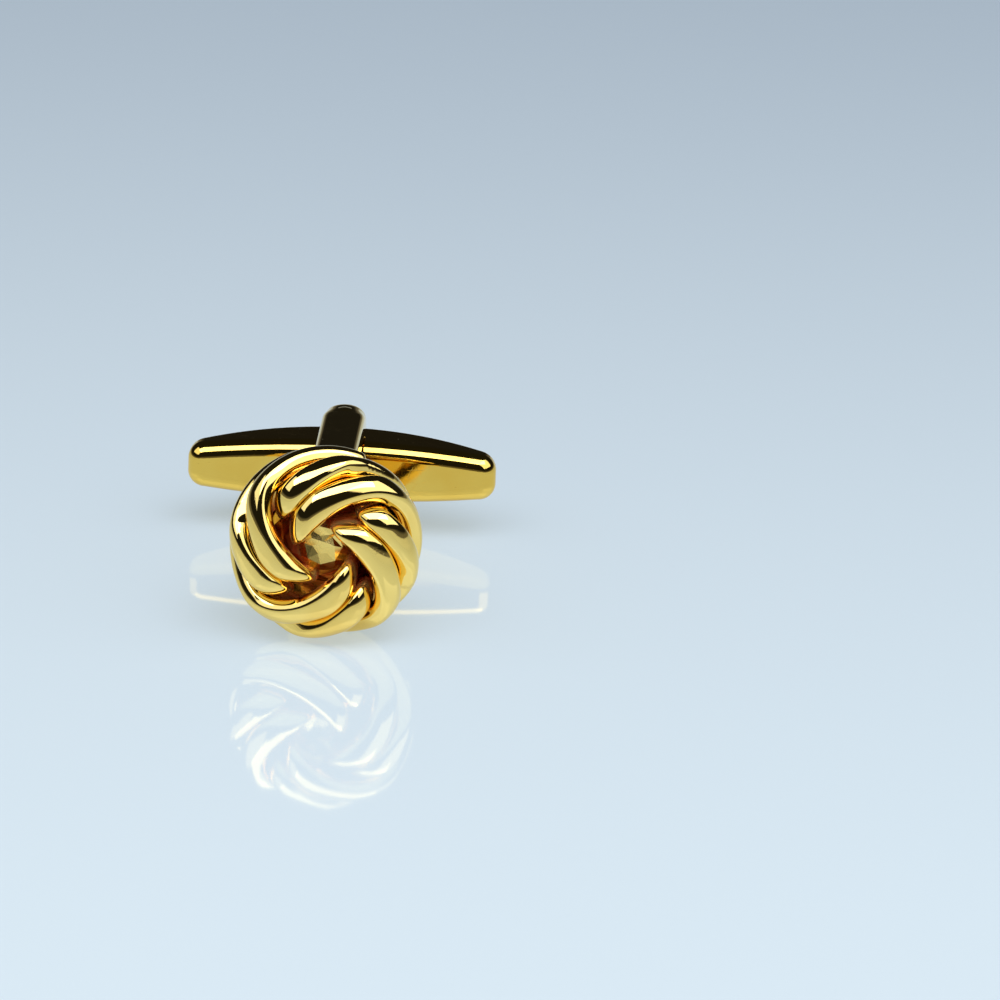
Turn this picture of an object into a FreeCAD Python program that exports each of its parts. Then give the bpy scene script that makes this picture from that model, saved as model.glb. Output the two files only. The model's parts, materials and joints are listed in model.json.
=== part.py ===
"""Double-strand knot cufflink with a swivelling bar back, one solid per physical piece."""
import FreeCAD, Part
import math
import os

Vector = FreeCAD.Vector

# Knot head: four bands of two round strands laid over a low dome
knot_radius = 6.25
knot_dome_height = 2.8
knot_back_height = 6.5
knot_dome_power = 2.2
band_count = 4
first_nose_angle = 141.0
strand_height = 1.36
strand_fullness_share = 1.02
nose_bend_radius = 0.9
leg_inset = 0.2
tail_edge_round = 0.45

# Lanes of the two strands on the dome: turn from the nose line, angle from the knot axis, in degrees
inner_lane_angles = [(26.0, 42.6), (40.0, 47.3), (55.0, 53.8), (70.0, 61.8), (85.0, 71.6), (100.0, 83.2),
                     (114.0, 94.0), (130.0, 102.0), (148.0, 108.0), (165.0, 112.0)]
outer_lane_angles = [(27.0, 65.1), (38.0, 68.4), (48.0, 72.2), (58.0, 77.3), (68.0, 85.4), (78.0, 93.8),
                     (90.0, 100.8), (102.0, 108.2), (114.0, 115.4), (122.0, 119.0)]

# Fineness of the strands' skins
path_steps = 200
section_spacing = 0.4
tail_steps = 4
skin_degree = 3
patch_spans = 10
normal_blend_share = 0.2

# Poles of half an oval in shares of its half width and half height
oval_bulge_share = 4 / 3 * (math.sqrt(2) - 1)
half_oval_across_shares = [-1, -1, -oval_bulge_share, oval_bulge_share, 1, 1]
half_oval_upward_shares = [0, oval_bulge_share, 1, 1, oval_bulge_share, 0]

# Cup that carries the strands on a thick rim and closes the knot behind
cup_rim_gap = 0.19
cup_rim_step = 0.3
cup_rim_rise = 0.2
cup_rim_depth = 1.8
cup_wall = 0.5
cup_floor = 2.2
cup_back = 4.1
cup_edge_round = 0.45
web_pocket_depth = 0.4
web_pocket_gap = 0.02

# Bar: hollow shell with a flat front, closed by a bowed back cover
bar_length = 20.2
bar_height = 4.1
bar_end_height = 2.8
bar_end_flat = 0.6
bar_front = 2.1
bar_back = 2.1
bar_end_thickness = 1.35
bar_wall = 0.55
bar_cover_thickness = 0.5
bar_front_round = 0.95
bar_back_round = 0.25

# Post: one strip bent into a fork around the bar, its web soldered into the cup
pivot_distance = 18.0
arm_reach = 0.5
arm_width = 2.8
arm_thickness = 1.5
bar_side_gap = 0.3
web_thickness = 1.6
arm_edge_round = 0.42

# Pivot pin, riveted into both arms and squared in the middle for the leaf springs
pin_radius = 0.80
pin_seat_gap = 0.01
pin_bore_gap = 0.04
pin_head_rise = 0.10
pin_flat_depth = 0.20

# Leaf springs inside the bar
leaf_thickness = 0.25
leaf_side_gap = 0.4
leaf_gap = 0.02
leaf_flat_margin = 0.2
front_leaf_length = 12.0
rear_leaf_length = 10.0

# Reach of cutting tools past the faces that they cut, and the slack in telling which edges lie on a face
cut_overrun = 1.0
face_slack = 0.001

# Sizes that follow from the ones above
cup_rim_radius = knot_radius - strand_height - cup_rim_gap
cup_radius = cup_rim_radius - cup_rim_step
fork_gap = bar_height + 2 * bar_side_gap
fork_height = fork_gap + 2 * arm_thickness
web_front = cup_back - web_pocket_depth
arm_end_radius = arm_width / 2
arm_end = pivot_distance + arm_reach
bar_face = pivot_distance - bar_front
bar_corner_radius = (bar_end_height - bar_end_flat) / 2
pin_flat_reach = pin_radius - pin_flat_depth
leaf_width = bar_height - 2 * bar_wall - 2 * leaf_side_gap
pin_flat_height = leaf_width + 2 * leaf_flat_margin
rise = Vector(0, -1, 0)


def dome_station(turn, polar, start_angle):
    """Point and outward normal of a strand's middle line, half a strand below the dome's skin."""
    around = math.radians(start_angle - turn)
    lean = math.radians(polar)
    across = math.sin(lean)
    along = math.cos(lean)
    power = knot_dome_power
    rounding = knot_dome_height if along > 0 else knot_back_height
    spread = (across / knot_radius) ** power + (abs(along) / rounding) ** power
    reach = spread ** (-1 / power)
    radius = reach * across
    height = reach * along
    radial_slope = (radius / knot_radius) ** (power - 1) / knot_radius
    axial_slope = math.copysign((abs(height) / rounding) ** (power - 1) / rounding, height)
    normal = Vector(radial_slope * math.cos(around), -axial_slope, radial_slope * math.sin(around))
    normal.normalize()
    skin = Vector(radius * math.cos(around), -height, radius * math.sin(around))
    return skin - normal * (strand_height / 2), normal


def lane_stations(lane_angles, start_angle):
    """Points and normals along one lane, from its nose to its tail."""
    lane = Part.BSplineCurve()
    lane.interpolate([Vector(turn, polar, 0) for turn, polar in lane_angles])
    stations = []
    for step in range(path_steps + 1):
        progress = step / path_steps
        place = lane.value(lane.FirstParameter + (lane.LastParameter - lane.FirstParameter) * progress)
        stations.append(dome_station(place.x, place.y, start_angle))
    return stations


def strand_path(lane_angles, start_angle, foot):
    """Points, tangents, normals and insets of a strand: up a leg, round the nose and along its lane."""
    lane = lane_stations(lane_angles, start_angle)
    start_tangent = (lane[1][0] - lane[0][0]).normalize()
    level = (start_tangent - rise * start_tangent.dot(rise)).normalize()
    bend_angle = start_tangent.getAngle(rise)
    nose_normal = rise * math.sin(bend_angle) - level * math.cos(bend_angle)
    bend_centre = lane[0][0] - nose_normal * nose_bend_radius
    leg_top = bend_centre - level * nose_bend_radius
    leg_foot = Vector(leg_top.x, foot, leg_top.z)
    path = []
    for step in range(path_steps):
        path.append((leg_foot + (leg_top - leg_foot) * (step / path_steps), rise, -level, leg_inset))
    for step in range(path_steps):
        angle = bend_angle * step / path_steps
        outward = rise * math.sin(angle) - level * math.cos(angle)
        tangent = rise * math.cos(angle) + level * math.sin(angle)
        inset = leg_inset * math.cos(step / path_steps * math.pi / 2) ** 2
        path.append((bend_centre + outward * nose_bend_radius, tangent, outward, inset))
    for step, (point, normal) in enumerate(lane):
        before = lane[max(step - 1, 0)][0]
        after = lane[min(step + 1, path_steps)][0]
        blend = min(step / path_steps / normal_blend_share, 1)
        path.append((point, (after - before).normalize(), nose_normal * (1 - blend) + normal * blend, 0))
    return path


def evenly_spaced(path):
    """Stations of a path at about the section spacing, up to where its tail starts to round off."""
    travelled = [0]
    for (before, *_), (after, *_) in zip(path, path[1:]):
        travelled.append(travelled[-1] + (after - before).Length)
    straight = travelled[-1] - tail_edge_round
    count = round(straight / section_spacing)
    chosen = []
    for step in range(count + 1):
        goal = straight * step / count
        nearest = min(range(len(path)), key=lambda index: abs(travelled[index] - goal))
        chosen.append(path[nearest])
    return chosen


def rounded_tail(point, tangent, normal, inset):
    """Stations past the last full oval of a strand, each with the inset that rounds its edge."""
    tail = []
    for step in range(1, tail_steps + 1):
        angle = step / tail_steps * math.pi / 2
        place = point + tangent * (tail_edge_round * math.sin(angle))
        tail.append((place, tangent, normal, inset + tail_edge_round * (1 - math.cos(angle))))
    return tail


def lane_spacing():
    """Closest distance between the middle lines of a band's two strands."""
    inner = lane_stations(inner_lane_angles, first_nose_angle)
    outer = lane_stations(outer_lane_angles, first_nose_angle)
    return min((place - other).Length for place, _ in inner for other, _ in outer)


def half_oval(point, tangent, normal, inset, side):
    """Poles of the upper or lower half of the oval across a strand, moved inwards."""
    upward = (normal - tangent * normal.dot(tangent)).normalize()
    across = tangent.cross(upward) * (strand_width / 2 - inset)
    upward = upward * (side * (strand_height / 2 - inset))
    poles = []
    for across_share, upward_share in zip(half_oval_across_shares, half_oval_upward_shares):
        poles.append(point + across * across_share + upward * upward_share)
    return poles


def half_skin(stations, side):
    """Smooth upper or lower half of a strand's skin, as faces of a few spans each, with its two end edges."""
    poles = [half_oval(*station, side) for station in stations]
    spans = len(stations) - skin_degree
    along_repeats = [skin_degree + 1] + [1] * (spans - 1) + [skin_degree + 1]
    around_repeats = [skin_degree + 1, 2, skin_degree + 1]
    skin = Part.BSplineSurface()
    skin.buildFromPolesMultsKnots(poles, along_repeats, around_repeats, list(range(spans + 1)), [0, 1, 2],
                                  False, False, skin_degree, skin_degree)
    end_edges = [skin.uIso(place).toShape() for place in (0, spans)]
    breaks = list(range(0, spans, patch_spans)) + [spans]
    faces = []
    for start, stop in zip(breaks, breaks[1:]):
        patch = skin.copy()
        patch.segment(start, stop, 0, 2)
        faces.append(patch.toShape())
    return faces, end_edges


def strand(lane_angles, start_angle, foot):
    """One strand: a leg standing on the cup, a bent nose, a run over the dome and a rounded tail."""
    full = evenly_spaced(strand_path(lane_angles, start_angle, foot))
    stations = full + rounded_tail(*full[-1])
    lower_faces, lower_edges = half_skin(stations, -1)
    upper_faces, upper_edges = half_skin(stations, 1)
    ends = [Part.Face(Part.Wire(edges)) for edges in zip(lower_edges, upper_edges)]
    shell = Part.Shell(lower_faces + upper_faces + ends)
    shell.sewShape()
    return Part.Solid(shell)


def disc(radius, near, far):
    """Cylinder about the knot axis between two depths."""
    return Part.makeCylinder(radius, far - near, Vector(0, near, 0), -rise)


def block(width, near, far, height):
    """Box centred on the knot axis between two depths."""
    return Part.makeBox(width, far - near, height, Vector(-width / 2, near, -height / 2))


def back_cup():
    """Cup with a thick rim, a rounded back edge and a shallow pocket for the post's web."""
    cup = disc(cup_radius, -cup_rim_rise, cup_back)
    back_edges = [edge for edge in cup.Edges if edge.BoundBox.YMin > cup_back - face_slack]
    cup = cup.makeFillet(cup_edge_round, back_edges)
    cup = cup.fuse(disc(cup_rim_radius, -cup_rim_rise, cup_rim_depth - cup_rim_rise))
    cup = cup.cut(disc(cup_radius - cup_wall, -cup_rim_rise - cut_overrun, cup_back - cup_floor))
    pocket_width = arm_width + 2 * web_pocket_gap
    pocket_height = fork_height + 2 * web_pocket_gap
    return cup.cut(block(pocket_width, web_front, cup_back + cut_overrun, pocket_height))


def upright_rod(radius, depth, height):
    """Cylinder across the link at a depth, centred on the knot axis."""
    return Part.makeCylinder(radius, height, Vector(0, depth, -height / 2), Vector(0, 0, 1))


def pin_rod(radius, height):
    """Cylinder about the pivot axis."""
    return upright_rod(radius, pivot_distance, height)


def post_frame():
    """Fork of two flat arms with round ends, standing on a web."""
    frame = block(arm_width, web_front, arm_end, fork_height)
    frame = frame.fuse(upright_rod(arm_end_radius, arm_end, fork_height)).removeSplitter()
    outer_edges = []
    for edge in frame.Edges:
        box = edge.BoundBox
        on_outer_face = min(abs(box.ZMin), abs(box.ZMax)) > fork_height / 2 - face_slack
        if on_outer_face and box.ZLength < face_slack and box.YMax > cup_back:
            outer_edges.append(edge)
    frame = frame.makeFillet(arm_edge_round, outer_edges)
    fork_floor = web_front + web_thickness
    fork_end = arm_end + arm_end_radius + cut_overrun
    frame = frame.cut(block(arm_width + 2 * cut_overrun, fork_floor, fork_end, fork_gap))
    return frame.cut(pin_rod(pin_radius + pin_seat_gap, fork_height + 2 * cut_overrun))


def pivot_pin():
    """Round pin with low domed ends and four flats where the leaf springs press."""
    half = fork_height / 2
    crown = half + pin_head_rise
    dome_radius = (pin_radius ** 2 + pin_head_rise ** 2) / (2 * pin_head_rise)
    edges = []
    for side in (-1, 1):
        tip = Vector(0, pivot_distance, side * crown)
        rim = Vector(pin_radius, pivot_distance, side * half)
        quarter = dome_radius - math.sqrt(dome_radius ** 2 - (pin_radius / 2) ** 2)
        between = Vector(pin_radius / 2, pivot_distance, side * (crown - quarter))
        edges.append(Part.Arc(tip, between, rim).toShape())
    edges.append(Part.makeLine(edges[0].Vertexes[-1].Point, edges[1].Vertexes[-1].Point))
    edges.append(Part.makeLine(edges[0].Vertexes[0].Point, edges[1].Vertexes[0].Point))
    profile = Part.Face(Part.Wire(Part.__sortEdges__(edges)))
    pin = profile.revolve(Vector(0, pivot_distance, 0), Vector(0, 0, 1), 360)
    flat_block = block(2 * pin_flat_reach, pivot_distance - pin_flat_reach,
                       pivot_distance + pin_flat_reach, pin_flat_height)
    return pin.cut(pin_rod(pin_radius + cut_overrun, pin_flat_height).cut(flat_block))


def bar_back_radius():
    """Radius of the bar's bowed back."""
    sag = bar_front + bar_back - bar_end_thickness
    return ((bar_length / 2) ** 2 + sag ** 2) / (2 * sag)


def bar_back_depth(place, inset):
    """Depth behind the pivot of the bowed back, moved inwards, at a place along the bar."""
    radius = bar_back_radius()
    return bar_back - radius + math.sqrt((radius - inset) ** 2 - place ** 2)


def bar_plan(inset):
    """Tall prism under the bowed back, moved inwards, and open past the bar's other faces."""
    reach = bar_length / 2 + cut_overrun
    front = bar_face - cut_overrun
    low = -bar_height / 2 - cut_overrun
    side = pivot_distance + bar_back_depth(reach, inset)
    crown = pivot_distance + bar_back_depth(0, inset)
    bow = Part.Arc(Vector(reach, side, low), Vector(0, crown, low), Vector(-reach, side, low))
    straight = Part.makePolygon([Vector(-reach, side, low), Vector(-reach, front, low),
                                 Vector(reach, front, low), Vector(reach, side, low)])
    outline = Part.Wire([bow.toShape()] + straight.Edges)
    return Part.Face(outline).extrude(Vector(0, 0, -2 * low))


def bar_outline(inset):
    """Long prism of the bar's front view with round corners, moved inwards, from the front face back."""
    half_length = bar_length / 2 - inset
    half_end = bar_end_height / 2 - inset
    half_middle = bar_height / 2 - inset
    front = bar_face + inset
    edges = []
    for side in (-1, 1):
        start = Vector(-side * half_length, front, side * half_end)
        middle = Vector(0, front, side * half_middle)
        end = Vector(side * half_length, front, side * half_end)
        edges.append(Part.Arc(start, middle, end).toShape())
        edges.append(Part.makeLine(end, Vector(side * half_length, front, -side * half_end)))
    prism = Part.Face(Part.Wire(Part.__sortEdges__(edges))).extrude(rise * -(bar_front + bar_back))
    corners = [edge for edge in prism.Edges if edge.BoundBox.YLength > bar_front]
    return prism.makeFillet(bar_corner_radius - inset, corners)


def on_bow(edge):
    """Whether the middle of an edge lies on the bar's bowed back."""
    middle = edge.valueAt((edge.FirstParameter + edge.LastParameter) / 2)
    return abs(middle.y - pivot_distance - bar_back_depth(middle.x, 0)) < face_slack


def bar_body():
    """Whole outside of the bar, with its front and back edges rounded."""
    body = bar_outline(0).common(bar_plan(0))
    front_edges = [edge for edge in body.Edges if edge.BoundBox.YMax < bar_face + face_slack]
    body = body.makeFillet(bar_front_round, front_edges)
    back_edges = [edge for edge in body.Edges if on_bow(edge)]
    return body.makeFillet(bar_back_round, back_edges)


def bar_shell(body):
    """Front and walls of the bar, hollow and bored for the pin."""
    inside = bar_plan(bar_cover_thickness)
    cavity = bar_outline(bar_wall).common(inside)
    shell = body.common(inside).cut(cavity)
    return shell.cut(pin_rod(pin_radius + pin_bore_gap, bar_height + 2 * cut_overrun))


def bar_cover(body):
    """Bowed cover that closes the bar's back."""
    return body.cut(bar_plan(bar_cover_thickness))


def leaf(length, middle, end):
    """Bowed strip spring, given the depths of its front side behind the pivot."""
    low = -leaf_width / 2
    half = length / 2
    bows = []
    for depth in (0, leaf_thickness):
        places = [Vector(place, pivot_distance + near + depth, low)
                  for place, near in ((-half, end), (0, middle), (half, end))]
        bows.append((places, Part.Arc(*places).toShape()))
    (front_places, front_bow), (back_places, back_bow) = bows
    ends = [Part.makeLine(front_places[index], back_places[index]) for index in (0, -1)]
    outline = Part.Wire(Part.__sortEdges__([front_bow, back_bow] + ends))
    return Part.Face(outline).extrude(Vector(0, 0, leaf_width))


def front_leaf():
    """Leaf between the pin's front flat and the bar's front wall."""
    middle = -pin_flat_reach - leaf_gap - leaf_thickness
    return leaf(front_leaf_length, middle, -bar_front + bar_wall + leaf_gap)


def rear_leaf():
    """Leaf between the pin's rear flat and the ends of the cover's hollow."""
    end = bar_back_depth(rear_leaf_length / 2, bar_cover_thickness) - leaf_gap - leaf_thickness
    return leaf(rear_leaf_length, pin_flat_reach + leaf_gap, end)


def resting_tilt():
    """Angle by which the head looks up when the knot's rim and the lower arm's end lie on a table."""
    strand_half = strand_height / 2
    rim = knot_radius - strand_half
    drop = rim - fork_height / 2 + arm_edge_round
    run = arm_end + arm_end_radius - arm_edge_round
    lean = math.acos((arm_edge_round - strand_half) / math.hypot(drop, run))
    return math.degrees(lean - math.atan2(run, drop))


strand_width = lane_spacing() * strand_fullness_share

pieces = {}
for band in range(band_count):
    nose_angle = first_nose_angle - band * 360 / band_count
    inner = strand(inner_lane_angles, nose_angle, cup_back - cup_floor)
    outer = strand(outer_lane_angles, nose_angle, -cup_rim_rise)
    pieces[f"knot_strand_{band + 1}_inner"] = inner
    pieces[f"knot_strand_{band + 1}_outer"] = outer
pieces["back_cup"] = back_cup()
pieces["post_frame"] = post_frame()
pieces["pivot_pin"] = pivot_pin()
bar = bar_body()
pieces["bar_shell"] = bar_shell(bar)
pieces["bar_cover"] = bar_cover(bar)
pieces["front_leaf_spring"] = front_leaf()
pieces["rear_leaf_spring"] = rear_leaf()

tilt = resting_tilt()
for shape in pieces.values():
    shape.rotate(Vector(0, 0, 0), Vector(1, 0, 0), -tilt)
bounds = Part.Compound(list(pieces.values())).optimalBoundingBox(True, False)
seat = Vector(0, -(bounds.YMin + bounds.YMax) / 2, -bounds.ZMin)

os.makedirs("parts", exist_ok=True)
for name, shape in pieces.items():
    shape.translate(seat)
    shape.exportStep(f"parts/{name}.step")
    print(name, len(shape.Solids), shape.isValid(), round(shape.Volume, 3))
print("strand width", round(strand_width, 4), "tilt", round(tilt, 4))
print("size", [round(value, 3) for value in (bounds.XLength, bounds.YLength, bounds.ZLength)])
spin = FreeCAD.Rotation(Vector(1, 0, 0), -tilt)
for label, depth in (("pivot", pivot_distance), ("cup back", cup_back), ("bar front", bar_face)):
    place = spin.multVec(Vector(0, depth, 0)) + seat
    print(label, [round(value, 4) for value in place])
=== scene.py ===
"""Looks of a gold-plated cufflink: a double-strand knot on a forked post with a swivelling bar."""
import json
import logging
import math
from dataclasses import dataclass
from enum import Enum
from typing import Any, Iterator, Sequence, Union

import bpy
import numpy as np
from mathutils import Matrix, Vector


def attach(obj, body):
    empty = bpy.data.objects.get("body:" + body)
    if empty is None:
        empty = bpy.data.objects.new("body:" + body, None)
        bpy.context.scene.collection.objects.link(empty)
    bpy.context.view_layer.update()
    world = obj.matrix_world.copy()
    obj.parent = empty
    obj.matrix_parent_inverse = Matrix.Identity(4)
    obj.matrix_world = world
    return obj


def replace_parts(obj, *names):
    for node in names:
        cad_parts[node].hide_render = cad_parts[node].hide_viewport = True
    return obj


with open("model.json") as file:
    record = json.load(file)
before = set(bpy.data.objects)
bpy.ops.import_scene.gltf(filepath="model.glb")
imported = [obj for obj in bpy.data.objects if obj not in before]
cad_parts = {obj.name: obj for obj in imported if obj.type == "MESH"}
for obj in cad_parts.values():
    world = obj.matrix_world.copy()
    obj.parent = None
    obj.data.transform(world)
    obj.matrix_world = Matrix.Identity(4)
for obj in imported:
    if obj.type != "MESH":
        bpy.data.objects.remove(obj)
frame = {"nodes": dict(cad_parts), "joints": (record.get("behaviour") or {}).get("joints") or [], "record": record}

log = logging.getLogger("cufflink")

MILLIMETRE = 0.001
IMAGE_SIZE = 1000
HEAD_BODY = "head"
SHARP_ANGLE = 40.0
PIVOT_DISTANCE = 18.0
SPLINE_DEGREE = 3
SPLINE_END_MARGIN = 1e-9
NOISE_MIDDLE = 0.5
MIX_SHARE, MIX_FIRST, MIX_SECOND, MIX_COLOUR = 0, 6, 7, 2

Value = Union["Socket", float]
Triple = tuple[float, float, float]
Colour = Triple

ACROSS_AXIS: Triple = (1.0, 0.0, 1.0)
BLACK: Colour = (0.0, 0.0, 0.0)
COOL_WHITE: Colour = (0.90, 0.98, 1.22)


class Socket:
    """A node's output, with operators that add Math nodes to its material."""

    def __init__(self, nodes: "NodeBench", output: bpy.types.NodeSocket) -> None:
        """Keeps the output and the bench that its nodes stand on."""
        self.nodes = nodes
        self.output = output

    def _maths(self, operation: str, *values: Value) -> "Socket":
        """Adds a Math node.

        Args:
            operation: The Math node's operation.
            values: Numbers or sockets for its inputs, in order.

        Returns:
            The node's result.
        """
        return self.nodes.node("ShaderNodeMath", {"operation": operation}, dict(enumerate(values)))

    def __add__(self, other: Value) -> "Socket":
        """Sum."""
        return self._maths("ADD", self, other)

    __radd__ = __add__

    def __sub__(self, other: Value) -> "Socket":
        """Difference."""
        return self._maths("SUBTRACT", self, other)

    def __rsub__(self, other: Value) -> "Socket":
        """Difference with the number first."""
        return self._maths("SUBTRACT", other, self)

    def __mul__(self, other: Value) -> "Socket":
        """Product."""
        return self._maths("MULTIPLY", self, other)

    __rmul__ = __mul__

    def ramp(self, low: float, high: float) -> "Socket":
        """Smooth step from 0 at low to 1 at high."""
        settings = {"interpolation_type": "SMOOTHSTEP"}
        return self.nodes.node("ShaderNodeMapRange", settings, {"Value": self, "From Min": low, "From Max": high})


@dataclass
class NodeBench:
    """The node tree of one material or world, and the one way in which nodes are added to it."""

    tree: bpy.types.NodeTree

    def node(self, kind: str, settings: dict[str, Any], inputs: dict[Any, Any], result: Any = 0) -> Socket:
        """Adds a node.

        Args:
            kind: The node's type.
            settings: Its properties, set before its inputs.
            inputs: Numbers, colours or sockets by input name or index.
            result: Name or index of the output that is wanted.

        Returns:
            That output.
        """
        made = self.tree.nodes.new(kind)
        for name, value in settings.items():
            setattr(made, name, value)
        for name, value in inputs.items():
            self.feed(made.inputs[name], value)
        return Socket(self, made.outputs[result])

    def feed(self, target: bpy.types.NodeSocket, value: Any) -> None:
        """Links a socket to an input, or sets the input's own value.

        Args:
            target: The input.
            value: A socket, number, vector or colour.
        """
        if isinstance(value, Socket):
            self.tree.links.new(value.output, target)
        elif target.type == "RGBA" and len(value) == 3:
            target.default_value = (*value, 1.0)
        else:
            target.default_value = value

    def mix(self, share: Value, first: Any, second: Any) -> Socket:
        """Mixes two colours.

        Args:
            share: Share of the second colour.
            first: Colour where the share is 0.
            second: Colour where the share is 1.

        Returns:
            The mixed colour.
        """
        inputs = {MIX_SHARE: share, MIX_FIRST: first, MIX_SECOND: second}
        return self.node("ShaderNodeMix", {"data_type": "RGBA"}, inputs, MIX_COLOUR)

    def vector_maths(self, operation: str, *values: Any) -> Socket:
        """Adds a Vector Math node.

        Args:
            operation: The node's operation.
            values: Vectors or sockets for its inputs, in order.

        Returns:
            The node's result: a number for a length, and a vector otherwise.
        """
        result = "Value" if operation == "LENGTH" else "Vector"
        return self.node("ShaderNodeVectorMath", {"operation": operation}, dict(enumerate(values)), result)

    def millimetres(self, stretch: Triple = (1.0, 1.0, 1.0)) -> Socket:
        """Place on the object in millimetres.

        Args:
            stretch: Factors along the three axes.

        Returns:
            The place as a vector.
        """
        place = self.node("ShaderNodeTexCoord", {}, {}, "Object")
        factors = tuple(factor / MILLIMETRE for factor in stretch)
        return self.vector_maths("MULTIPLY", place, factors)

    def noise(self, place: Socket, scale: float, detail: float) -> Socket:
        """Smooth noise from 0 to 1.

        Args:
            place: Vector at which the noise is read.
            scale: Lumps for each unit of the vector.
            detail: Octaves of finer lumps.

        Returns:
            The noise.
        """
        return self.node("ShaderNodeTexNoise", {}, {"Vector": place, "Scale": scale, "Detail": detail})


@dataclass(frozen=True)
class LinkFrame:
    """Places on the link, in millimetres about the knot's middle with the front along -Y, set on the table."""

    spin: np.ndarray
    seat: np.ndarray
    tilt: float

    @classmethod
    def from_joint(cls, joint: dict[str, Any], pivot_distance: float) -> "LinkFrame":
        """Works the frame out from the swivel joint.

        Args:
            joint: The joint's row in the record.
            pivot_distance: Distance of the pivot behind the knot's middle, in millimetres.

        Returns:
            The frame.
        """
        axis = Vector(joint["axis"])
        tilt = math.atan2(axis.y, axis.z)
        spin = Matrix.Rotation(-tilt, 3, "X")
        seat = Vector(joint["pos_m"]) - spin @ Vector((0, pivot_distance * MILLIMETRE, 0))
        return cls(np.array(spin), np.array(seat), tilt)

    def to_world(self, places: np.ndarray) -> np.ndarray:
        """Places in metres in the shared frame, from places in millimetres on the link."""
        return places * MILLIMETRE @ self.spin.T + self.seat


@dataclass(frozen=True)
class HollowShade:
    """Painted shade in the knot's hollow: a redder, darker tone, told by how deep a place lies under the dome."""

    link: LinkFrame
    dome_radius: float = 6.25
    dome_height: float = 2.8
    deep: float = 0.56
    shallow: float = 0.82
    core_radius: float = 1.4
    core_edge: float = 1.8

    def masks(self, nodes: NodeBench) -> tuple[Socket, Socket]:
        """Masks of the painted shade in the hollow.

        Args:
            nodes: Bench of the material.

        Returns:
            A mask that is 1 deep inside the knot, and one that is 1 at the core in its middle.
        """
        seat = tuple(self.link.seat / MILLIMETRE)
        place = nodes.vector_maths("SUBTRACT", nodes.millimetres(), seat)
        place = nodes.node("ShaderNodeVectorRotate", {"rotation_type": "X_AXIS"},
                           {"Vector": place, "Angle": self.link.tilt})
        shares = (1 / self.dome_radius, 1 / self.dome_height, 1 / self.dome_radius)
        depth = nodes.vector_maths("LENGTH", nodes.vector_maths("MULTIPLY", place, shares))
        middle = nodes.vector_maths("LENGTH", nodes.vector_maths("MULTIPLY", place, ACROSS_AXIS))
        return 1 - depth.ramp(self.deep, self.shallow), 1 - middle.ramp(self.core_radius, self.core_edge)


@dataclass(frozen=True)
class Mottle:
    """Soft patches: lumps for each millimetre, octaves of finer lumps, and the noise at a patch's edges."""

    scale: float
    detail: float
    low: float
    high: float

    def mask(self, nodes: NodeBench) -> Socket:
        """Mask that is 1 in a patch."""
        return nodes.noise(nodes.millimetres(), self.scale, self.detail).ramp(self.low, self.high)


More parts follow.
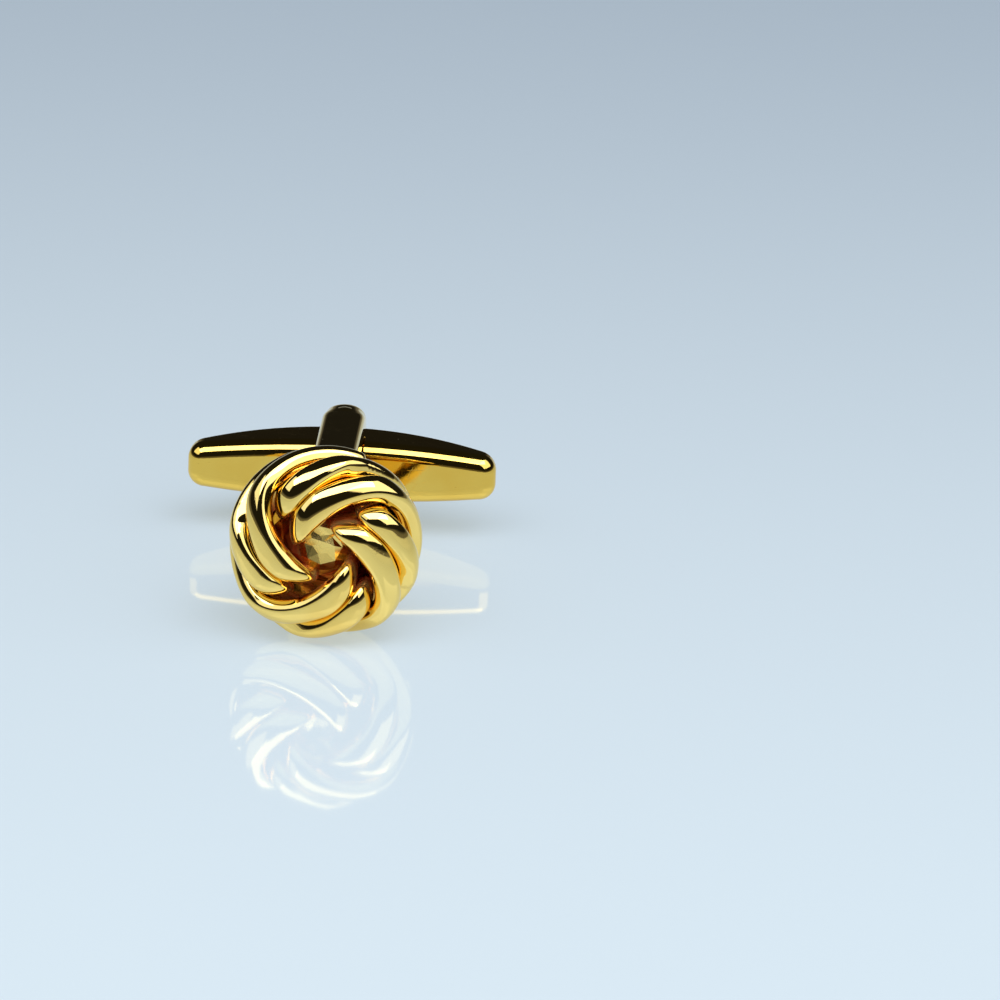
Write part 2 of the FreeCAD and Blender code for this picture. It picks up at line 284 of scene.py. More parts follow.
@dataclass(frozen=True)
class GoldPlate:
    """Polished gold plate: tone drifts, handling haze, hairline scratches, pits and soft waves, in millimetres.

    A scratch is given by its direction in degrees and its cells for each millimetre.
    """

    name: str
    colour: Colour = (1.0, 0.72, 0.21)
    deep_colour: Colour = (0.93, 0.58, 0.12)
    drift: Mottle = Mottle(0.3, 2.0, 0.35, 0.75)
    drift_share: float = 0.45
    roughness: float = 0.045
    haze: Mottle = Mottle(1.1, 5.0, 0.45, 0.8)
    haze_roughness: float = 0.05
    scratch_roughness: float = 0.06
    wave_height: float = 0.004
    wave_scale: float = 0.45
    wave_detail: float = 1.0
    grain_height: float = 0.0004
    grain_scale: float = 9.0
    grain_detail: float = 4.0
    scratch_patches: Mottle = Mottle(0.7, 2.0, 0.5, 0.62)
    scratch_height: float = 0.0005
    scratch_width: float = 0.02
    scratch_stretch: Triple = (0.15, 1.0, 1.0)
    first_scratch: tuple[float, float] = (25.0, 1.1)
    second_scratch: tuple[float, float] = (140.0, 0.8)
    pit_patches: Mottle = Mottle(0.5, 2.0, 0.55, 0.68)
    pit_height: float = 0.004
    pit_scale: float = 2.2
    pit_radius: float = 0.11
    # Painted shade: deep in the knot's hollow the gold is mixed towards a dark red, with less metal.
    hollow: HollowShade | None = None
    hollow_shade_colour: Colour = (0.66, 0.13, 0.03)
    hollow_roughness: float = 0.22
    hollow_metal: float = 0.35
    core_roughness: float = 0.14

    def pits(self, nodes: NodeBench) -> Socket:
        """Scattered casting pits, in patches.

        Args:
            nodes: Bench of the material.

        Returns:
            Mask that is 1 in a pit.
        """
        inputs = {"Vector": nodes.millimetres(), "Scale": self.pit_scale}
        drops = nodes.node("ShaderNodeTexVoronoi", {}, inputs)
        return (1 - drops.ramp(self.pit_radius / 2, self.pit_radius)) * self.pit_patches.mask(nodes)

    def scratches(self, nodes: NodeBench, spin: float, scale: float) -> Socket:
        """Hairline scratches in one direction.

        Args:
            nodes: Bench of the material.
            spin: Direction of the scratches, in degrees.
            scale: Cells for each millimetre.

        Returns:
            Mask that is 1 on a scratch.
        """
        settings = {"rotation_type": "EULER_XYZ"}
        turn = tuple(math.radians(angle) for angle in (spin, spin / 2, spin * 2))
        place = nodes.millimetres()
        place = nodes.node("ShaderNodeVectorRotate", settings, {"Vector": place, "Rotation": turn})
        place = nodes.vector_maths("MULTIPLY", place, self.scratch_stretch)
        cells = nodes.node("ShaderNodeTexVoronoi", {"feature": "DISTANCE_TO_EDGE"},
                           {"Vector": place, "Scale": scale})
        return 1 - cells.ramp(0.0, self.scratch_width)

    def build(self) -> bpy.types.Material:
        """Makes the material.

        Returns:
            The material, named after the slot.
        """
        material = bpy.data.materials.new(self.name)
        material.use_nodes = True
        nodes = NodeBench(material.node_tree)
        shader = material.node_tree.nodes["Principled BSDF"]
        place = nodes.millimetres()
        grain = nodes.noise(place, self.grain_scale, self.grain_detail)
        wave = nodes.noise(place, self.wave_scale, self.wave_detail)
        scratch = self.scratches(nodes, *self.first_scratch) + self.scratches(nodes, *self.second_scratch)
        scratch = scratch * self.scratch_patches.mask(nodes)
        pits = self.pits(nodes)
        tone = nodes.mix(self.drift.mask(nodes) * self.drift_share, self.colour, self.deep_colour)
        rough = self.roughness + self.haze.mask(nodes) * self.haze_roughness + scratch * self.scratch_roughness
        # Painted shade: the hollow mask darkens and reddens the gold deep in the knot and takes metal from it, away
        # from the core.
        if self.hollow:
            deep, core = self.hollow.masks(nodes)
            inside = deep * (1 - core)
            tone = nodes.mix(inside, tone, self.hollow_shade_colour)
            rough = rough + inside * self.hollow_roughness + deep * core * self.core_roughness
            nodes.feed(shader.inputs["Metallic"], 1 - inside * (1 - self.hollow_metal))
        else:
            nodes.feed(shader.inputs["Metallic"], 1.0)
        nodes.feed(shader.inputs["Base Color"], tone)
        nodes.feed(shader.inputs["Roughness"], rough + pits * self.scratch_roughness)
        height = wave * self.wave_height + grain * self.grain_height - scratch * self.scratch_height
        height = height - pits * self.pit_height
        bump = nodes.node("ShaderNodeBump", {}, {"Height": height, "Distance": MILLIMETRE})
        nodes.feed(shader.inputs["Normal"], bump)
        return material


@dataclass(frozen=True)
class SpringSteel:
    """Bare spring steel, brushed along the strip."""

    name: str
    colour: Colour = (0.55, 0.56, 0.58)
    dark_colour: Colour = (0.36, 0.37, 0.39)
    roughness: float = 0.28
    brush_roughness: float = 0.15
    brush_stretch: Triple = (0.4, 12.0, 12.0)
    brush_scale: float = 1.0
    brush_detail: float = 3.0

    def build(self) -> bpy.types.Material:
        """Makes the material.

        Returns:
            The material, named after the slot.
        """
        material = bpy.data.materials.new(self.name)
        material.use_nodes = True
        nodes = NodeBench(material.node_tree)
        shader = material.node_tree.nodes["Principled BSDF"]
        brush = nodes.noise(nodes.millimetres(self.brush_stretch), self.brush_scale, self.brush_detail)
        nodes.feed(shader.inputs["Base Color"], nodes.mix(brush, self.dark_colour, self.colour))
        nodes.feed(shader.inputs["Roughness"], self.roughness + brush * self.brush_roughness)
        nodes.feed(shader.inputs["Metallic"], 1.0)
        return material


def unit(vectors: np.ndarray) -> np.ndarray:
    """Vectors of length 1 along the given ones."""
    return vectors / np.linalg.norm(vectors, axis=-1, keepdims=True)


def new_piece(name: str, points: np.ndarray, faces: Sequence[Sequence[int]], body: str) -> bpy.types.Object:
    """Makes a smooth mesh piece that rides on a body.

    Args:
        name: The piece's name.
        points: Its vertices in metres.
        faces: Its faces as vertex numbers.
        body: The body that it rides on.

    Returns:
        The piece.
    """
    mesh = bpy.data.meshes.new(name)
    mesh.from_pydata(points.tolist(), [], faces)
    mesh.validate()
    mesh.shade_smooth()
    mesh.set_sharp_from_angle(angle=math.radians(SHARP_ANGLE))
    piece = bpy.data.objects.new(name, mesh)
    bpy.context.scene.collection.objects.link(piece)
    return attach(piece, body)


def ring_faces(rings: int, around: int) -> list[list[int]]:
    """Faces of a tube of closed rings with both ends capped.

    Args:
        rings: Number of rings.
        around: Points in each ring.

    Returns:
        The faces as vertex numbers.
    """
    faces = []
    for ring in range(rings - 1):
        for step in range(around):
            follow = (step + 1) % around
            low, high = ring * around, (ring + 1) * around
            faces.append([low + step, low + follow, high + follow, high + step])
    faces.append(list(range(around))[::-1])
    faces.append([(rings - 1) * around + step for step in range(around)])
    return faces


def clamped_curve(points: np.ndarray, steps: int) -> np.ndarray:
    """Smooth cubic curve through points, with end slopes from the four points at each end.

    Args:
        points: The points, one in a row.
        steps: Number of equal steps along the curve.

    Returns:
        Points along the curve.
    """
    gaps = np.linalg.norm(np.diff(points, axis=0), axis=1)
    knots = np.concatenate([[0.0], np.cumsum(gaps)])
    count = len(points)
    matrix = np.eye(count)
    goals = np.zeros_like(points)
    needed = SPLINE_DEGREE + 1
    for end, chosen in ((0, slice(0, needed)), (-1, slice(-needed, None))):
        fit = np.polyfit(knots[chosen] - knots[end], points[chosen], SPLINE_DEGREE)
        goals[end] = fit[-2]
    for index in range(1, count - 1):
        before, after = gaps[index - 1], gaps[index]
        matrix[index, index - 1:index + 2] = 1 / before, 2 / before + 2 / after, 1 / after
        rise_before = (points[index] - points[index - 1]) / before ** 2
        rise_after = (points[index + 1] - points[index]) / after ** 2
        goals[index] = 3 * (rise_before + rise_after)
    slopes = np.linalg.solve(matrix, goals)
    places = np.linspace(0, knots[-1], steps + 1)
    spans = np.clip(np.searchsorted(knots, places, side="right") - 1, 0, count - 2)
    length = gaps[spans][:, None]
    share = (places - knots[spans])[:, None] / length
    start, stop = points[spans], points[spans + 1]
    leave, arrive = slopes[spans] * length, slopes[spans + 1] * length
    square, cube = share ** 2, share ** 3
    return (start * (2 * cube - 3 * square + 1) + leave * (cube - 2 * square + share)
            + stop * (3 * square - 2 * cube) + arrive * (cube - square))


def spline_weights(count: int, places: np.ndarray) -> np.ndarray:
    """Weights of a clamped cubic spline's poles.

    Args:
        count: Number of poles.
        places: Places along the spline, from 0 to the number of spans.

    Returns:
        One row of weights for each place.
    """
    spans = count - SPLINE_DEGREE
    knots = np.clip(np.arange(-SPLINE_DEGREE, spans + SPLINE_DEGREE + 1), 0, spans)
    places = np.clip(places, 0, spans * (1 - SPLINE_END_MARGIN))[:, None]
    weights = ((knots[:-1] <= places) & (places < knots[1:])).astype(float)
    for order in range(1, SPLINE_DEGREE + 1):
        width = knots[order:] - knots[:-order]
        slope = np.where(width > 0, 1 / np.maximum(width, 1), 0)
        rising = (places - knots[:-order - 1]) * slope[:-1] * weights[:, :-1]
        falling = (knots[order + 1:] - places) * slope[1:] * weights[:, 1:]
        weights = rising + falling
    return weights


class Lane(Enum):
    """The two lanes of a band: turn from the nose line and angle from the knot's axis, in degrees."""

    inner = ((26.0, 46.0), (40.0, 50.8), (55.0, 57.2), (70.0, 65.2), (85.0, 75.6), (100.0, 87.6),
             (114.0, 97.4), (130.0, 104.2), (148.0, 109.0), (165.0, 112.0))
    outer = ((23.0, 65.0), (33.0, 68.0), (42.0, 71.4), (50.0, 75.4), (58.0, 80.4), (68.0, 87.6), (78.0, 95.0),
             (90.0, 101.6), (102.0, 108.6), (114.0, 115.4), (122.0, 119.0))


@dataclass(frozen=True)
class Knot:
    """Four bands of two strands over a low dome, in millimetres and degrees."""

    link: LinkFrame
    radius: float = 6.2
    dome_height: float = 2.8
    back_height: float = 6.5
    dome_power: float = 2.2
    band_count: int = 4
    first_nose_angle: float = 141.0
    strand_height: float = 1.45
    strand_width: float = 1.78
    seam_gap: float = 0.01
    least_room: float = 0.6
    most_room: float = 1.2
    free_fullness: float = 0.75
    seam_fullness: float = 0.6
    lean: float = 15.0
    inner_slant: float = 37.0
    outer_slant: float = 24.0
    slant_length: float = 3.0
    nose_bend_radius: float = 0.9
    leg_inset: float = 0.08
    tail_edge_round: float = 0.45
    tail_steps: int = 4
    inner_foot: float = 1.9
    outer_foot: float = -0.2
    path_steps: int = 200
    pole_spacing: float = 0.4
    normal_blend_share: float = 0.2
    rings_per_span: int = 6
    points_around: int = 56

    def lane_line(self, lane: Lane, start_angle: float) -> tuple[np.ndarray, np.ndarray]:
        """Middle line of a strand on the dome.

        Args:
            lane: Which lane of the band.
            start_angle: Angle of the band's nose line.

        Returns:
            Points of the line and the dome's normals there.
        """
        turn, polar = clamped_curve(np.array(lane.value), self.path_steps).T
        around = np.radians(start_angle - turn)
        across, along = np.sin(np.radians(polar)), np.cos(np.radians(polar))
        power = self.dome_power
        rounding = np.where(along > 0, self.dome_height, self.back_height)
        reach = ((across / self.radius) ** power + (np.abs(along) / rounding) ** power) ** (-1 / power)
        radius, height = reach * across, reach * along
        radial = (radius / self.radius) ** (power - 1) / self.radius
        axial = np.copysign((np.abs(height) / rounding) ** (power - 1) / rounding, height)
        normals = unit(np.stack([radial * np.cos(around), -axial, radial * np.sin(around)], axis=1))
        skin = np.stack([radius * np.cos(around), -height, radius * np.sin(around)], axis=1)
        return skin - normals * (self.strand_height / 2), normals

    def strand_line(self, lane: Lane, start_angle: float) -> tuple[np.ndarray, np.ndarray, np.ndarray]:
        """Whole middle line of a strand: up its leg, round its nose and along its lane.

        Args:
            lane: Which lane of the band.
            start_angle: Angle of the band's nose line.

        Returns:
            Points, tangents and normals along the strand.
        """
        rise = np.array([0.0, -1.0, 0.0])
        points, normals = self.lane_line(lane, start_angle)
        start = unit(points[1] - points[0])
        level = unit(start - rise * (start @ rise))
        bend_angle = math.acos(start @ rise)
        nose_normal = rise * math.sin(bend_angle) - level * math.cos(bend_angle)
        centre = points[0] - nose_normal * self.nose_bend_radius
        leg_top = centre - level * self.nose_bend_radius
        foot = self.inner_foot if lane is Lane.inner else self.outer_foot
        leg_foot = np.array([leg_top[0], foot, leg_top[2]])
        shares = np.arange(self.path_steps)[:, None] / self.path_steps
        leg = leg_foot + (leg_top - leg_foot) * shares
        angles = bend_angle * shares
        outward = rise * np.sin(angles) - level * np.cos(angles)
        bend_tangents = rise * np.cos(angles) + level * np.sin(angles)
        last = self.path_steps
        before = points[np.maximum(np.arange(last + 1) - 1, 0)]
        after = points[np.minimum(np.arange(last + 1) + 1, last)]
        blend = np.minimum(np.arange(last + 1)[:, None] / last / self.normal_blend_share, 1)
        lane_normals = nose_normal * (1 - blend) + normals * blend
        return (np.concatenate([leg, centre + outward * self.nose_bend_radius, points]),
                np.concatenate([np.tile(rise, (last, 1)), bend_tangents, unit(after - before)]),
                np.concatenate([np.tile(-level, (last, 1)), outward, lane_normals]))

    def twin_reach(self, lane: Lane, start_angle: float, middles: np.ndarray, across: np.ndarray) -> np.ndarray:
        """Room beside a strand up to the plane where it meets the other strand of its band.

        Args:
            lane: Which lane of the band.
            start_angle: Angle of the band's nose line.
            middles: Points of the strand's middle line.
            across: Unit vectors across the strand there.

        Returns:
            The room at each point, negative where the twin lies against the vector.
        """
        other = Lane.outer if lane is Lane.inner else Lane.inner
        twin = self.strand_line(other, start_angle)[0]
        offsets = twin[None, :] - middles[:, None]
        nearest = np.linalg.norm(offsets, axis=2).argmin(axis=1)
        beside = np.sum(offsets[np.arange(len(middles)), nearest] * across, axis=1)
        return beside / 2 - np.copysign(self.seam_gap / 2, beside)

    def strand_poles(self, lane: Lane, start_angle: float) -> tuple[np.ndarray, ...]:
        """Poles of a strand's skin, with the tail drawn in to a round edge and the nose slanted.

        Args:
            lane: Which lane of the band.
            start_angle: Angle of the band's nose line.

        Returns:
            Middles of the ovals, their half widths and half heights as vectors, and how far the nose's slant carries
            the side that a half width points to.
        """
        points, tangents, normals = self.strand_line(lane, start_angle)
        travelled = np.concatenate([[0], np.cumsum(np.linalg.norm(np.diff(points, axis=0), axis=1))])
        straight = travelled[-1] - self.tail_edge_round
        count = round(straight / self.pole_spacing)
        goals = np.linspace(0, straight, count + 1)
        chosen = np.abs(travelled[None, :] - goals[:, None]).argmin(axis=1)
        chosen = np.concatenate([chosen, np.repeat(chosen[-1:], self.tail_steps)])
        angles = np.concatenate([np.zeros(count + 1), np.arange(1, self.tail_steps + 1) / self.tail_steps])
        angles = angles[:, None] * math.pi / 2
        tangents = tangents[chosen]
        past_leg = np.clip(chosen / self.path_steps - 1, 0, 1)[:, None]
        inset = self.tail_edge_round * (1 - np.cos(angles))
        inset = inset + self.leg_inset * np.cos(past_leg * math.pi / 2) ** 2
        places = points[chosen] + tangents * self.tail_edge_round * np.sin(angles)
        upward = normals[chosen]
        upward = unit(upward - tangents * np.sum(upward * tangents, axis=1, keepdims=True))
        across = np.cross(tangents, upward)
        nose = np.searchsorted(chosen, 2 * self.path_steps)
        outward = math.copysign(math.radians(self.lean), across[nose] @ (places[nose] * ACROSS_AXIS))
        upward = upward * math.cos(outward) + across * math.sin(outward)
        across = np.cross(tangents, upward)
        past_bend = np.clip((travelled[chosen] - travelled[2 * self.path_steps]) / self.slant_length, 0, 1)
        slant = math.tan(math.radians(self.inner_slant if lane is Lane.inner else self.outer_slant))
        slant = slant * np.cos(past_bend * math.pi / 2) ** 2
        slants = normals[0] * (-math.copysign(1, outward) * slant * (self.strand_width / 2))[:, None]
        half_widths, half_heights = self.strand_width / 2 - inset, self.strand_height / 2 - inset
        return places, across * half_widths, upward * half_heights, slants

    def strand(self, name: str, lane: Lane, start_angle: float) -> bpy.types.Object:
        """Builds one strand.

        Args:
            name: Name of the strand's node.
            lane: Which lane of the band.
            start_angle: Angle of the band's nose line.

        Returns:
            The piece that stands for the node.
        """
        poles = self.strand_poles(lane, start_angle)
        spans = len(poles[0]) - SPLINE_DEGREE
        rings = spans * self.rings_per_span + 1
        weights = spline_weights(len(poles[0]), np.linspace(0, spans, rings))
        middles, across, upward, slants = (weights @ values for values in poles)
        half_widths = np.linalg.norm(across, axis=1, keepdims=True)
        room = self.twin_reach(lane, start_angle, middles, across / half_widths)
        side = math.copysign(1, np.median(room))
        room = np.clip(room * side, self.least_room, self.most_room)[:, None]
        angles = np.linspace(0, 2 * math.pi, self.points_around, endpoint=False)[None, :]
        at_seam = np.cos(angles) * side > 0
        sideways = np.cos(angles) * np.where(at_seam, room / half_widths, 1)
        fullness = np.where(at_seam, self.seam_fullness, self.free_fullness)
        lift = np.copysign(np.abs(np.sin(angles)) ** fullness, np.sin(angles))
        skin = (middles[:, None] + (across + slants)[:, None] * sideways[:, :, None]
                + upward[:, None] * lift[:, :, None])
        piece = new_piece(f"{name}_skin", self.link.to_world(skin.reshape(-1, 3)),
                          ring_faces(rings, self.points_around), HEAD_BODY)
        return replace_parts(piece, name)

    def build(self, finish: bpy.types.Material) -> Iterator[bpy.types.Object]:
        """Builds all strands.

        Args:
            finish: Material of the strands.

        Yields:
            The strands, one at a time.
        """
        for band in range(self.band_count):
            start_angle = self.first_nose_angle - band * 360 / self.band_count
            for lane in Lane:
                piece = self.strand(f"knot_strand_{band + 1}_{lane.name}", lane, start_angle)
                piece.data.materials.append(finish)
                yield piece


@dataclass(frozen=True)
class CupFloor:
    """Rough solder and gold on the cup's floor, as a low flat-topped heap of uneven facets, in millimetres."""

    link: LinkFrame
    radius: float = 3.88
    floor_depth: float = 1.9
    mound_height: float = 2.8
    plateau_radius: float = 1.5
    mound_radius: float = 3.0
    apex_rise: float = 0.5
    rings: int = 6
    spokes: int = 8
    unevenness: float = 0.3
    plateau_unevenness: float = 0.5
    seed: int = 4

    def build(self, finish: bpy.types.Material) -> bpy.types.Object:
        """Builds the heap.

        Args:
            finish: Material of the cup.

        Returns:
            The heap.
        """
        chance = np.random.default_rng(self.seed)
        points = [[0.0, self.floor_depth - self.mound_height, self.apex_rise]]
        for ring in range(1, self.rings + 1):
            share = ring / self.rings
            for spoke in range(self.spokes):
                slope = np.clip((self.radius * share - self.plateau_radius)
                                / (self.mound_radius - self.plateau_radius), 0, 1)
                jitter = chance.uniform(-1, 1, 3) * (self.unevenness if ring < self.rings else 0)
                jitter[2] *= self.plateau_unevenness if slope == 0 else 1
                angle = 2 * math.pi * (spoke + ring / 2 + jitter[0]) / self.spokes
                reach = self.radius * share + jitter[1] * self.radius / self.rings
                mound = self.mound_height * math.cos(slope * math.pi / 2) ** 2
                depth = min(self.floor_depth - mound + jitter[2], self.floor_depth)
                rise = self.apex_rise * (1 - share)
                points.append([reach * math.cos(angle), depth, reach * math.sin(angle) + rise])
        faces = []
        for spoke in range(self.spokes):
            follow = (spoke + 1) % self.spokes
            faces.append([0, 1 + follow, 1 + spoke])
            for ring in range(self.rings - 1):
                low, high = 1 + ring * self.spokes, 1 + (ring + 1) * self.spokes
                faces.append([low + spoke, low + follow, high + spoke])
                faces.append([low + follow, high + follow, high + spoke])
        piece = new_piece("cup_floor", self.link.to_world(np.array(points)), faces, HEAD_BODY)
        piece.data.shade_flat()
        piece.data.materials.append(finish)
        return piece


@dataclass(frozen=True)
class Post:
    """Fork of one strip: a web and two arms with ends rounded off like a thumb, in millimetres and degrees."""

    link: LinkFrame
    arm_width: float = 2.8
    arm_thickness: float = 1.5
    fork_gap: float = 4.7
    web_front: float = 3.7
    web_thickness: float = 1.6
    arm_end: float = 18.5
    edge_round: float = 0.42
    end_round: float = 0.95
    round_length: float = 1.6
    last_angle: float = 88.0
    end_steps: int = 14
    arm_steps: int = 24
    points_over: int = 33

    def arm_ring(self, place: float) -> np.ndarray:
        """Ring round an arm, rounded more and more towards its end.

        Args:
            place: Distance along the post.

        Returns:
            Points across the arm, along it and above its inner face.
        """
        half = self.arm_width / 2
        past = max(place - self.arm_end, 0.0)
        reach = math.sqrt(half ** 2 - past ** 2)
        share = np.clip((place - self.arm_end) / self.round_length + 1, 0, 1)
        rounding = self.edge_round + (self.end_round - self.edge_round) * share ** 2 * (3 - 2 * share)
        over = reach * np.sin(np.linspace(math.pi / 2, -math.pi / 2, self.points_over))
        edge = np.clip(np.hypot(over, past) - (half - rounding), 0, rounding)
        height = self.arm_thickness - rounding + np.sqrt(rounding ** 2 - edge ** 2)
        over = np.concatenate([[reach], over, [-reach]])
        height = np.concatenate([[0.0], height, [0.0]])
        return np.stack([over, np.full_like(over, place), height], axis=1)

    def build(self, finish: bpy.types.Material) -> bpy.types.Object:
        """Builds the post.

        Args:
            finish: Material of the post.

        Returns:
            The piece that stands for the post's node.
        """
        fork_floor = self.web_front + self.web_thickness
        angles = np.radians(np.linspace(0, self.last_angle, self.end_steps + 1))
        places = np.concatenate([np.linspace(fork_floor, self.arm_end, self.arm_steps, endpoint=False),
                                 self.arm_end + self.arm_width / 2 * np.sin(angles)])
        arm = np.stack([self.arm_ring(place) for place in places])
        arm[0, :, 1] -= arm[0, :, 2] * self.web_thickness / self.arm_thickness
        arm[:, :, 2] += self.fork_gap / 2
        rings = np.concatenate([arm[::-1], arm * (1, 1, -1)])
        piece = new_piece("post_strip", self.link.to_world(rings.reshape(-1, 3)),
                          ring_faces(len(rings), rings.shape[1]), HEAD_BODY)
        piece.data.materials.append(finish)
        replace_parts(piece, "post_frame")
        return piece


@dataclass(frozen=True)
class PivotPin:
    """Round pin with domed rivet heads and four flats in its middle, in millimetres and degrees."""

    link: LinkFrame
    radius: float = 0.8
    flat_reach: float = 0.6
    flat_height: float = 2.6
    crown: float = 3.94
    head_radius: float = 1.2
    last_angle: float = 86.0
    head_steps: int = 10
    points_around: int = 48

    def build(self, finish: bpy.types.Material) -> bpy.types.Object:
        """Builds the pin.

        Args:
            finish: Material of the pin.

        Returns:
            The piece that stands for the pin's node.
        """
        angles = np.linspace(0, 2 * math.pi, self.points_around, endpoint=False)
        flats = self.flat_reach / np.maximum(np.abs(np.cos(angles)), np.abs(np.sin(angles)))
        square = np.minimum(self.radius, flats)
        radii = self.radius * np.cos(np.radians(np.linspace(0, self.last_angle, self.head_steps)))
        heights = self.crown - self.head_radius + np.sqrt(self.head_radius ** 2 - radii ** 2)
        half = [(self.flat_height / 2, square), (self.flat_height / 2, np.full_like(angles, self.radius))]
        half += [(height, np.full_like(angles, radius)) for height, radius in zip(heights, radii)]
        stack = [(-height, reach) for height, reach in half[::-1]] + half
        rings = np.array([np.stack([reach * np.cos(angles), PIVOT_DISTANCE + reach * np.sin(angles),
                                    np.full_like(angles, height)], axis=1) for height, reach in stack])
        piece = new_piece("pivot_rivet", self.link.to_world(rings.reshape(-1, 3)),
                          ring_faces(len(rings), self.points_around), HEAD_BODY)
        piece.data.materials.append(finish)
        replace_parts(piece, "pivot_pin")
        return piece


@dataclass(frozen=True)
class Camera:
    """Camera of the photograph's view, in degrees and pixels, aimed so that the knot's middle falls on its pixel."""

    azimuth: float = 3.5
    elevation: float = 24.2
    roll: float = -1.4
    focal_pixels: float = 6634.0
    knot_pixel_x: float = 324.5
    knot_pixel_y: float = 545.2
    pixels_per_millimetre: float = 15.85
    sensor_width: float = 36.0

    def build(self, link: LinkFrame) -> bpy.types.Object:
        """Makes the scene's camera.

        Args:
            link: Frame of the link, whose origin is the knot's middle.

        Returns:
            The camera.
        """
        lens = bpy.data.cameras.new("camera")
        lens.sensor_width = self.sensor_width
        lens.lens = self.focal_pixels / IMAGE_SIZE * self.sensor_width
        camera = bpy.data.objects.new("camera", lens)
        bpy.context.scene.collection.objects.link(camera)
        middle = IMAGE_SIZE / 2
        ray = Vector(((self.knot_pixel_x - middle) / self.focal_pixels,
                      (middle - self.knot_pixel_y) / self.focal_pixels, -1))
        depth = self.focal_pixels / self.pixels_per_millimetre * MILLIMETRE
        back = towards(self.azimuth, self.elevation)
        look = back.to_track_quat("Z", "Y") @ ray.rotation_difference(Vector((0, 0, -1)))
        look = look @ Matrix.Rotation(math.radians(self.roll), 3, ray).to_quaternion()
        place = Vector(link.seat) + back * depth * ray.length
        camera.matrix_world = Matrix.Translation(place) @ look.to_matrix().to_4x4()
        bpy.context.scene.camera = camera
        return camera


def towards(azimuth: float, elevation: float) -> Vector:
    """Unit vector from the link in a direction, in degrees, where azimuth 0 is the link's front."""
    turn, lift = math.radians(azimuth), math.radians(elevation)
    return Vector((math.sin(turn) * math.cos(lift), -math.cos(turn) * math.cos(lift), math.sin(lift)))


@dataclass(frozen=True)
class SoftLamp:
    """Rectangular lamp aimed at the link: direction in degrees, sizes in metres."""

    name: str
    azimuth: float
    elevation: float
    width: float
    height: float
    radiance: float
    spin: float = 0.0
    distance: float = 0.5
    colour: Colour = COOL_WHITE

    def build(self) -> bpy.types.Object:
        """Makes the lamp.

        Returns:
            The lamp.
        """
        light = bpy.data.lights.new(self.name, "AREA")
        light.shape = "RECTANGLE"
        light.size, light.size_y = self.width, self.height
        light.energy = self.radiance * math.pi * self.width * self.height
        light.color = self.colour
        lamp = bpy.data.objects.new(self.name, light)
        bpy.context.scene.collection.objects.link(lamp)
        back = towards(self.azimuth, self.elevation)
        place = Matrix.Translation(back * self.distance)
        turn = Matrix.Rotation(math.radians(self.spin), 4, "Z")
        lamp.matrix_world = place @ back.to_track_quat("Z", "Y").to_matrix().to_4x4() @ turn
        return lamp


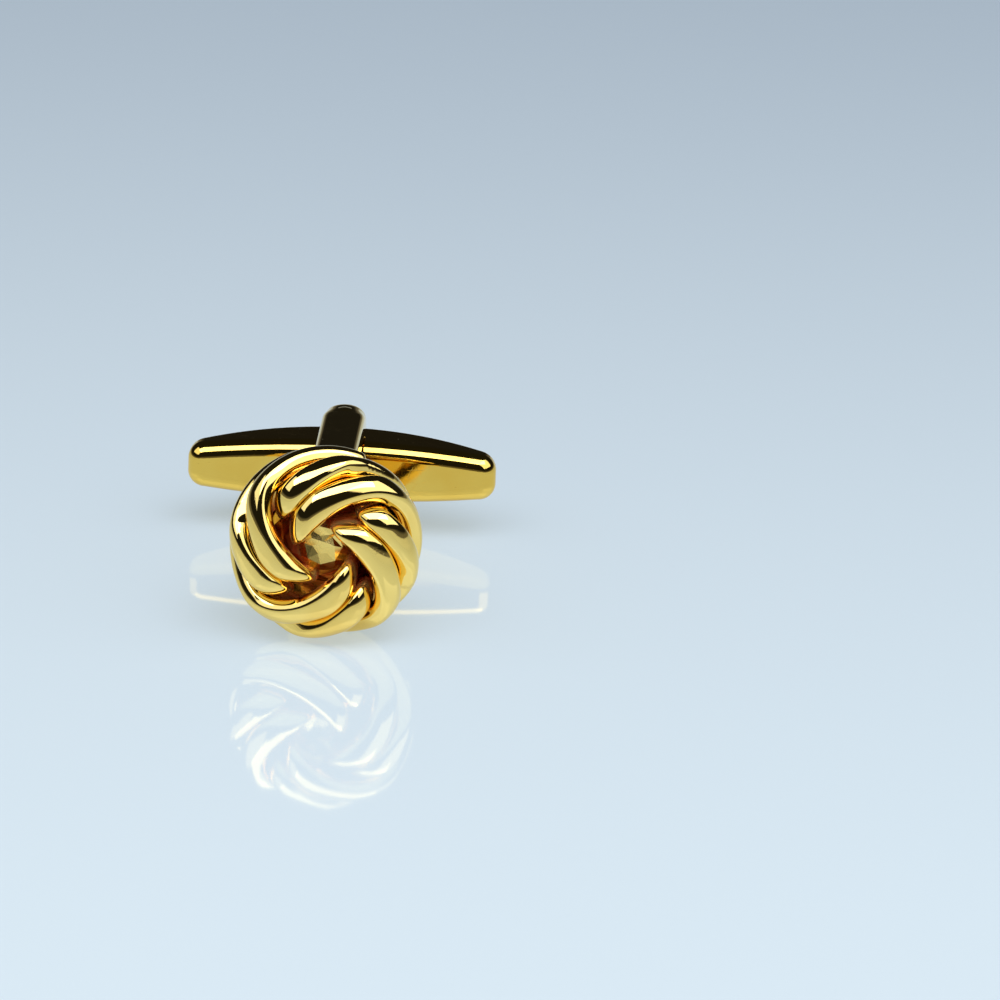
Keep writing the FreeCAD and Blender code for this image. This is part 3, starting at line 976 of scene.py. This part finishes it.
@dataclass(frozen=True)
class Studio:
    """Pale table with painted light falloff that darkens it behind the link, dim room with a faint horizon, and soft
    lamps.

    The table's size is in metres, its edges of painted falloff in millimetres behind the link and the horizon in
    degrees.
    """

    table_size: float = 2.4
    near_colour: Colour = (0.74, 0.84, 0.85)
    shaded_far_colour: Colour = (0.43, 0.51, 0.57)
    shaded_end_colour: Colour = (0.12, 0.14, 0.16)
    near_edge: float = -70.0
    far_edge: float = 170.0
    fall_edge: float = 120.0
    end_edge: float = 340.0
    drift_share: float = 0.06
    drift_scale: float = 0.01
    drift_detail: float = 2.0
    table_glow: float = 0.6
    table_roughness: float = 0.05
    room_level: float = 0.012
    horizon_level: float = 0.12
    horizon_low: float = 2.0
    horizon_high: float = 8.0
    room_colour: Colour = (0.98, 1.0, 1.0)
    lamps: tuple[SoftLamp, ...] = (
        SoftLamp("overhead_box", azimuth=0.0, elevation=70.0, width=0.66, height=0.32, radiance=3.2, spin=20.0),
        SoftLamp("right_box", azimuth=64.0, elevation=48.0, width=0.64, height=0.44, radiance=1.5),
        SoftLamp("left_box", azimuth=-68.0, elevation=40.0, width=0.46, height=0.3, radiance=1.2),
    )

    def table(self) -> bpy.types.Object:
        """Makes the table top, with painted light falloff that darkens it from front to back.

        Returns:
            The table top.
        """
        half = self.table_size / 2
        corners = [(-half, -half, 0), (half, -half, 0), (half, half, 0), (-half, half, 0)]
        mesh = bpy.data.meshes.new("table")
        mesh.from_pydata(corners, [], [range(len(corners))])
        table = bpy.data.objects.new("table", mesh)
        bpy.context.scene.collection.objects.link(table)
        material = bpy.data.materials.new("table_top")
        material.use_nodes = True
        nodes = NodeBench(material.node_tree)
        shader = material.node_tree.nodes["Principled BSDF"]
        place = nodes.millimetres()
        depth = nodes.node("ShaderNodeSeparateXYZ", {}, {"Vector": place}, "Y")
        drift = nodes.noise(place, self.drift_scale, self.drift_detail) - NOISE_MIDDLE
        share = depth.ramp(self.near_edge, self.far_edge) + drift * self.drift_share
        # Painted light falloff: the table is mixed towards darker colours further behind the link.
        tone = nodes.mix(share, self.near_colour, self.shaded_far_colour)
        tone = nodes.mix(depth.ramp(self.fall_edge, self.end_edge), tone, self.shaded_end_colour)
        seen = nodes.node("ShaderNodeLightPath", {}, {}, "Is Camera Ray")
        for ray in ("Is Glossy Ray", "Is Transmission Ray"):
            seen = seen + nodes.node("ShaderNodeLightPath", {}, {}, ray)
        nodes.feed(shader.inputs["Base Color"], nodes.mix(self.table_glow, tone, BLACK))
        nodes.feed(shader.inputs["Emission Color"], nodes.mix(seen * self.table_glow, BLACK, tone))
        nodes.feed(shader.inputs["Emission Strength"], 1.0)
        nodes.feed(shader.inputs["Roughness"], self.table_roughness)
        mesh.materials.append(material)
        return table

    def room(self) -> bpy.types.World:
        """Makes the room: dark above, a little lighter at the horizon and below.

        Returns:
            The scene's world.
        """
        world = bpy.data.worlds.new("room")
        world.use_nodes = True
        nodes = NodeBench(world.node_tree)
        direction = nodes.node("ShaderNodeTexCoord", {}, {}, "Generated")
        height = nodes.node("ShaderNodeSeparateXYZ", {}, {"Vector": direction}, "Z")
        low, high = (math.sin(math.radians(angle)) for angle in (self.horizon_low, self.horizon_high))
        level = self.room_level + self.horizon_level * (1 - height.ramp(low, high))
        backdrop = world.node_tree.nodes["Background"]
        nodes.feed(backdrop.inputs["Color"], self.room_colour)
        nodes.feed(backdrop.inputs["Strength"], level)
        bpy.context.scene.world = world
        return world

    def build(self) -> None:
        """Makes the room, the table and the lamps."""
        self.room()
        self.table()
        for lamp in self.lamps:
            lamp.build()


def dress_nodes(finishes: dict[str, bpy.types.Material]) -> None:
    """Gives each solid of the frame the finish of its slot.

    Args:
        finishes: Materials by slot.
    """
    for subpart in frame["record"]["subparts"]:
        solid = frame["nodes"][subpart["node"]]
        solid.data.materials.clear()
        solid.data.materials.append(finishes[subpart["material_slot"]])


def main() -> None:
    """Builds the cufflink's looks, the studio and the camera."""
    logging.basicConfig(level=logging.INFO, format="%(name)s: %(message)s")
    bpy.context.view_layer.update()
    bpy.context.scene.view_settings.view_transform = "Standard"
    link = LinkFrame.from_joint(frame["joints"][0], PIVOT_DISTANCE)
    hollow = HollowShade(link)
    finishes = {finish.name: finish.build() for finish in (
        GoldPlate("polished_gold", hollow=hollow),
        GoldPlate("cup_gold", roughness=0.10, hollow=hollow),
        GoldPlate("post_gold"),
        GoldPlate("pin_gold", roughness=0.08),
        # Painted shade: the bar's gold is deeper and more orange than the knot's, for the shaded table that its
        # front reflects.
        GoldPlate("bar_gold", colour=(0.96, 0.63, 0.12), deep_colour=(0.88, 0.50, 0.06)),
        SpringSteel("spring_steel"),
    )}
    dress_nodes(finishes)
    pieces = list(Knot(link).build(finishes["polished_gold"]))
    pieces.append(CupFloor(link).build(finishes["cup_gold"]))
    pieces.append(Post(link).build(finishes["post_gold"]))
    pieces.append(PivotPin(link).build(finishes["pin_gold"]))
    for piece in pieces:
        log.info("%s: %d faces", piece.name, len(piece.data.polygons))
    Studio().build()
    Camera().build(link)


if __name__ == "__main__":
    main()
